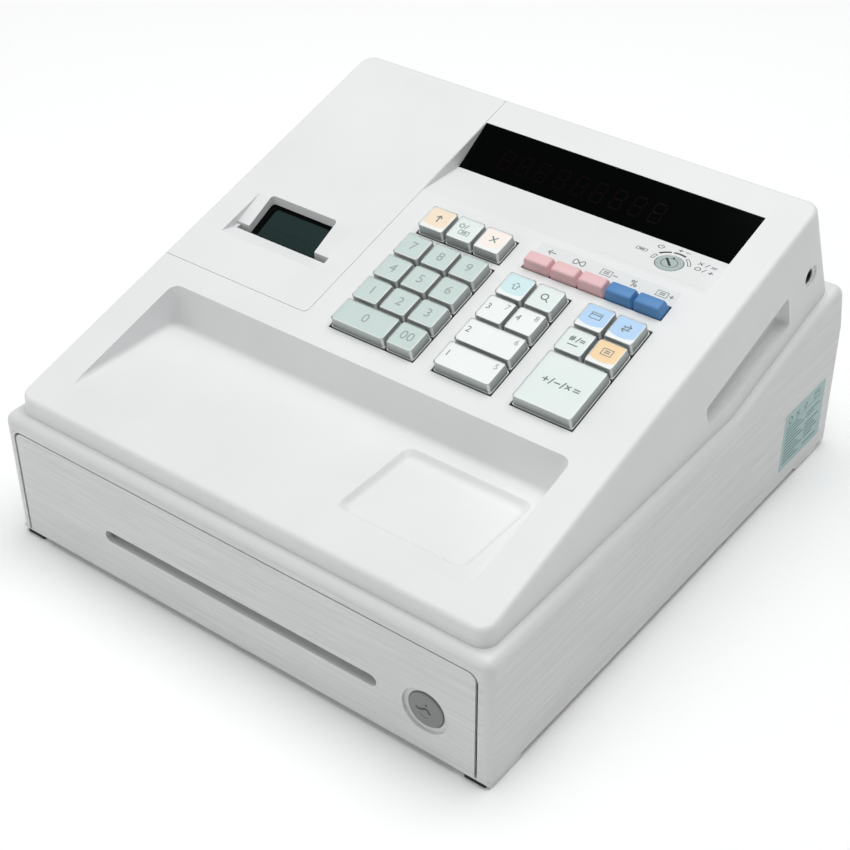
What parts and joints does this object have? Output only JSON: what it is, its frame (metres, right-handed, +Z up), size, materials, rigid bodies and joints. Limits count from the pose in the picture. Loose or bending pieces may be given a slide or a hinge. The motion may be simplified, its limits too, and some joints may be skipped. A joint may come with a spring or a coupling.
{
  "type": "cash register",
  "caption": "Desktop cash register: drawer case with a sloping housing over it, keys, display, receipt printer and lift-off cover.",
  "frame": {"origin": "on the table, under the middle of the case", "axes": "+X to the right of a person facing the drawer, +Y to the rear, +Z up; the drawer opens towards -Y"},
  "size_m": [0.335, 0.36, 0.1831],
  "materials": {
    "case_plastic": "fine streaked grain",
    "housing_plastic": "fine spark-eroded grain",
    "galvanised": "zinc plated",
    "rubber": "matt",
    "screw_steel": "satin",
    "black_plastic": "fine grain",
    "smoked_window": "clear smoked",
    "display_filter": "polished",
    "circuit_board": "solder mask",
    "lock_face": "satin",
    "drawer_lock": "satin",
    "transformer_steel": "varnished",
    "frame_plastic": "moulded",
    "paper": "smooth thermal paper",
    "nylon": "moulded",
    "till_plastic": "moulded",
    "pink_button": "fine grain",
    "blue_button": "fine grain",
    "clear_key": "clear cap over a printed label"
  },
  "bodies": {
    "case": {"lower_case": "case_plastic", "base_plate": "galvanised", "foot_pads": "rubber", "housing_screws": "screw_steel", "power_inlet": "black_plastic", "upper_housing": "housing_plastic", "display_window": "display_filter", "display_board": "circuit_board", "rear_window": "display_filter", "mode_lock_body": "black_plastic", "jack_socket": "black_plastic", "keyboard_board": "circuit_board", "main_board": "circuit_board", "transformer": "transformer_steel", "printer_frame": "frame_plastic"},
    "cover": {"printer_cover": "housing_plastic", "cover_window": "smoked_window", "paper_cutter": "screw_steel"},
    "platen": {"platen_roller": "rubber"},
    "print_head": {"thermal_head": "screw_steel"},
    "receipt_roll": {"paper_roll": "paper"},
    "drawer": {"drawer_front": "case_plastic", "drawer_lock_barrel": "screw_steel", "drawer_box": "galvanised"},
    "lock_plug": {"drawer_lock_rotor": "drawer_lock"},
    "rollers": {"drawer_rollers": "nylon"},
    "till": {"till_insert": "till_plastic"},
    "clips": {"bill_clips": "till_plastic"},
    "latch": {"latch_lever": "screw_steel"},
    "mode_plug": {"mode_lock_rotor": "lock_face"},
    "key_0": {"key_0": "clear_key"},
    "key_00": {"key_00": "clear_key"},
    "key_1": {"key_1": "clear_key"},
    "key_2": {"key_2": "clear_key"},
    "key_3": {"key_3": "clear_key"},
    "key_4": {"key_4": "clear_key"},
    "key_5": {"key_5": "clear_key"},
    "key_6": {"key_6": "clear_key"},
    "key_7": {"key_7": "clear_key"},
    "key_8": {"key_8": "clear_key"},
    "key_9": {"key_9": "clear_key"},
    "key_cheque": {"key_cheque": "clear_key"},
    "key_clear": {"key_clear": "clear_key"},
    "key_credit": {"key_credit": "clear_key"},
    "key_escape": {"key_escape": "pink_button"},
    "key_exchange": {"key_exchange": "clear_key"},
    "key_feed": {"key_feed": "clear_key"},
    "key_item1": {"key_item1": "clear_key"},
    "key_item2": {"key_item2": "clear_key"},
    "key_item3": {"key_item3": "clear_key"},
    "key_item4": {"key_item4": "clear_key"},
    "key_lookup": {"key_lookup": "clear_key"},
    "key_paid_out": {"key_paid_out": "pink_button"},
    "key_percent": {"key_percent": "blue_button"},
    "key_receipt": {"key_receipt": "clear_key"},
    "key_received": {"key_received": "blue_button"},
    "key_repeat": {"key_repeat": "pink_button"},
    "key_shift": {"key_shift": "clear_key"},
    "key_subtotal": {"key_subtotal": "clear_key"},
    "key_total": {"key_total": "clear_key"}
  },
  "joints": [
    {"name": "drawer_slide", "type": "slide", "parent": "case", "child": "drawer", "axis": [0, -1, 0], "range_m": [0, 0.27]},
    {"name": "roller_spin", "type": "hinge", "parent": "drawer", "child": "rollers", "pos_m": [0, 0.138, 0.0131], "axis": [1, 0, 0], "continuous": true},
    {"name": "drawer_lock_turn", "type": "hinge", "parent": "drawer", "child": "lock_plug", "pos_m": [0.128, -0.17, 0.0334], "axis": [0, 1, 0], "range_deg": [0, 90]},
    {"name": "till_lift", "type": "slide", "parent": "drawer", "child": "till", "axis": [0, 0, 1], "range_m": [0, 0.01]},
    {"name": "clip_swing", "type": "hinge", "parent": "till", "child": "clips", "pos_m": [0, 0.132, 0.058], "axis": [-1, 0, 0], "range_deg": [0, 35]},
    {"name": "latch_swing", "type": "hinge", "parent": "case", "child": "latch", "pos_m": [0, 0.167, 0.019], "axis": [-1, 0, 0], "range_deg": [0, 12]},
    {"name": "cover_lift", "type": "slide", "parent": "case", "child": "cover", "axis": [0, -0.2652, 0.9642], "range_m": [0, 0.06]},
    {"name": "platen_spin", "type": "hinge", "parent": "case", "child": "platen", "pos_m": [-0.1065, -0.014, 0.113], "axis": [1, 0, 0], "continuous": true},
    {"name": "roll_spin", "type": "hinge", "parent": "case", "child": "receipt_roll", "pos_m": [-0.1065, 0.074, 0.128], "axis": [1, 0, 0], "continuous": true},
    {"name": "head_release", "type": "hinge", "parent": "case", "child": "print_head", "pos_m": [-0.1065, 0.014, 0.1], "axis": [-1, 0, 0], "range_deg": [0, 20]},
    {"name": "mode_turn", "type": "hinge", "parent": "case", "child": "mode_plug", "pos_m": [0.106, 0.071, 0.16], "axis": [0, 0, -1], "range_deg": [-30, 90]},
    {"name": "key_0_press", "type": "slide", "parent": "case", "child": "key_0", "axis": [0, 0.2652, -0.9642], "range_m": [0, 0.003], "stiffness_N_per_m": 200, "springref_m": -0.001},
    {"name": "key_00_press", "type": "slide", "parent": "case", "child": "key_00", "axis": [0, 0.2652, -0.9642], "range_m": [0, 0.003], "stiffness_N_per_m": 200, "springref_m": -0.001},
    {"name": "key_1_press", "type": "slide", "parent": "case", "child": "key_1", "axis": [0, 0.2652, -0.9642], "range_m": [0, 0.003], "stiffness_N_per_m": 200, "springref_m": -0.001},
    {"name": "key_2_press", "type": "slide", "parent": "case", "child": "key_2", "axis": [0, 0.2652, -0.9642], "range_m": [0, 0.003], "stiffness_N_per_m": 200, "springref_m": -0.001},
    {"name": "key_3_press", "type": "slide", "parent": "case", "child": "key_3", "axis": [0, 0.2652, -0.9642], "range_m": [0, 0.003], "stiffness_N_per_m": 200, "springref_m": -0.001},
    {"name": "key_4_press", "type": "slide", "parent": "case", "child": "key_4", "axis": [0, 0.2652, -0.9642], "range_m": [0, 0.003], "stiffness_N_per_m": 200, "springref_m": -0.001},
    {"name": "key_5_press", "type": "slide", "parent": "case", "child": "key_5", "axis": [0, 0.2652, -0.9642], "range_m": [0, 0.003], "stiffness_N_per_m": 200, "springref_m": -0.001},
    {"name": "key_6_press", "type": "slide", "parent": "case", "child": "key_6", "axis": [0, 0.2652, -0.9642], "range_m": [0, 0.003], "stiffness_N_per_m": 200, "springref_m": -0.001},
    {"name": "key_7_press", "type": "slide", "parent": "case", "child": "key_7", "axis": [0, 0.2652, -0.9642], "range_m": [0, 0.003], "stiffness_N_per_m": 200, "springref_m": -0.001},
    {"name": "key_8_press", "type": "slide", "parent": "case", "child": "key_8", "axis": [0, 0.2652, -0.9642], "range_m": [0, 0.003], "stiffness_N_per_m": 200, "springref_m": -0.001},
    {"name": "key_9_press", "type": "slide", "parent": "case", "child": "key_9", "axis": [0, 0.2652, -0.9642], "range_m": [0, 0.003], "stiffness_N_per_m": 200, "springref_m": -0.001},
    {"name": "key_cheque_press", "type": "slide", "parent": "case", "child": "key_cheque", "axis": [0, 0.2652, -0.9642], "range_m": [0, 0.003], "stiffness_N_per_m": 200, "springref_m": -0.001},
    {"name": "key_clear_press", "type": "slide", "parent": "case", "child": "key_clear", "axis": [0, 0.2652, -0.9642], "range_m": [0, 0.003], "stiffness_N_per_m": 200, "springref_m": -0.001},
    {"name": "key_credit_press", "type": "slide", "parent": "case", "child": "key_credit", "axis": [0, 0.2652, -0.9642], "range_m": [0, 0.003], "stiffness_N_per_m": 200, "springref_m": -0.001},
    {"name": "key_escape_press", "type": "slide", "parent": "case", "child": "key_escape", "axis": [0, 0.2652, -0.9642], "range_m": [0, 0.003], "stiffness_N_per_m": 200, "springref_m": -0.001},
    {"name": "key_exchange_press", "type": "slide", "parent": "case", "child": "key_exchange", "axis": [0, 0.2652, -0.9642], "range_m": [0, 0.003], "stiffness_N_per_m": 200, "springref_m": -0.001},
    {"name": "key_feed_press", "type": "slide", "parent": "case", "child": "key_feed", "axis": [0, 0.2652, -0.9642], "range_m": [0, 0.003], "stiffness_N_per_m": 200, "springref_m": -0.001},
    {"name": "key_item1_press", "type": "slide", "parent": "case", "child": "key_item1", "axis": [0, 0.2652, -0.9642], "range_m": [0, 0.003], "stiffness_N_per_m": 200, "springref_m": -0.001},
    {"name": "key_item2_press", "type": "slide", "parent": "case", "child": "key_item2", "axis": [0, 0.2652, -0.9642], "range_m": [0, 0.003], "stiffness_N_per_m": 200, "springref_m": -0.001},
    {"name": "key_item3_press", "type": "slide", "parent": "case", "child": "key_item3", "axis": [0, 0.2652, -0.9642], "range_m": [0, 0.003], "stiffness_N_per_m": 200, "springref_m": -0.001},
    {"name": "key_item4_press", "type": "slide", "parent": "case", "child": "key_item4", "axis": [0, 0.2652, -0.9642], "range_m": [0, 0.003], "stiffness_N_per_m": 200, "springref_m": -0.001},
    {"name": "key_lookup_press", "type": "slide", "parent": "case", "child": "key_lookup", "axis": [0, 0.2652, -0.9642], "range_m": [0, 0.003], "stiffness_N_per_m": 200, "springref_m": -0.001},
    {"name": "key_paid_out_press", "type": "slide", "parent": "case", "child": "key_paid_out", "axis": [0, 0.2652, -0.9642], "range_m": [0, 0.003], "stiffness_N_per_m": 200, "springref_m": -0.001},
    {"name": "key_percent_press", "type": "slide", "parent": "case", "child": "key_percent", "axis": [0, 0.2652, -0.9642], "range_m": [0, 0.003], "stiffness_N_per_m": 200, "springref_m": -0.001},
    {"name": "key_receipt_press", "type": "slide", "parent": "case", "child": "key_receipt", "axis": [0, 0.2652, -0.9642], "range_m": [0, 0.003], "stiffness_N_per_m": 200, "springref_m": -0.001},
    {"name": "key_received_press", "type": "slide", "parent": "case", "child": "key_received", "axis": [0, 0.2652, -0.9642], "range_m": [0, 0.003], "stiffness_N_per_m": 200, "springref_m": -0.001},
    {"name": "key_repeat_press", "type": "slide", "parent": "case", "child": "key_repeat", "axis": [0, 0.2652, -0.9642], "range_m": [0, 0.003], "stiffness_N_per_m": 200, "springref_m": -0.001},
    {"name": "key_shift_press", "type": "slide", "parent": "case", "child": "key_shift", "axis": [0, 0.2652, -0.9642], "range_m": [0, 0.003], "stiffness_N_per_m": 200, "springref_m": -0.001},
    {"name": "key_subtotal_press", "type": "slide", "parent": "case", "child": "key_subtotal", "axis": [0, 0.2652, -0.9642], "range_m": [0, 0.003], "stiffness_N_per_m": 200, "springref_m": -0.001},
    {"name": "key_total_press", "type": "slide", "parent": "case", "child": "key_total", "axis": [0, 0.2652, -0.9642], "range_m": [0, 0.003], "stiffness_N_per_m": 200, "springref_m": -0.001}
  ],
  "couplings": [
    {"joint": "roller_spin", "follows": "drawer_slide", "rad_per_m": 142.86}
  ]
}
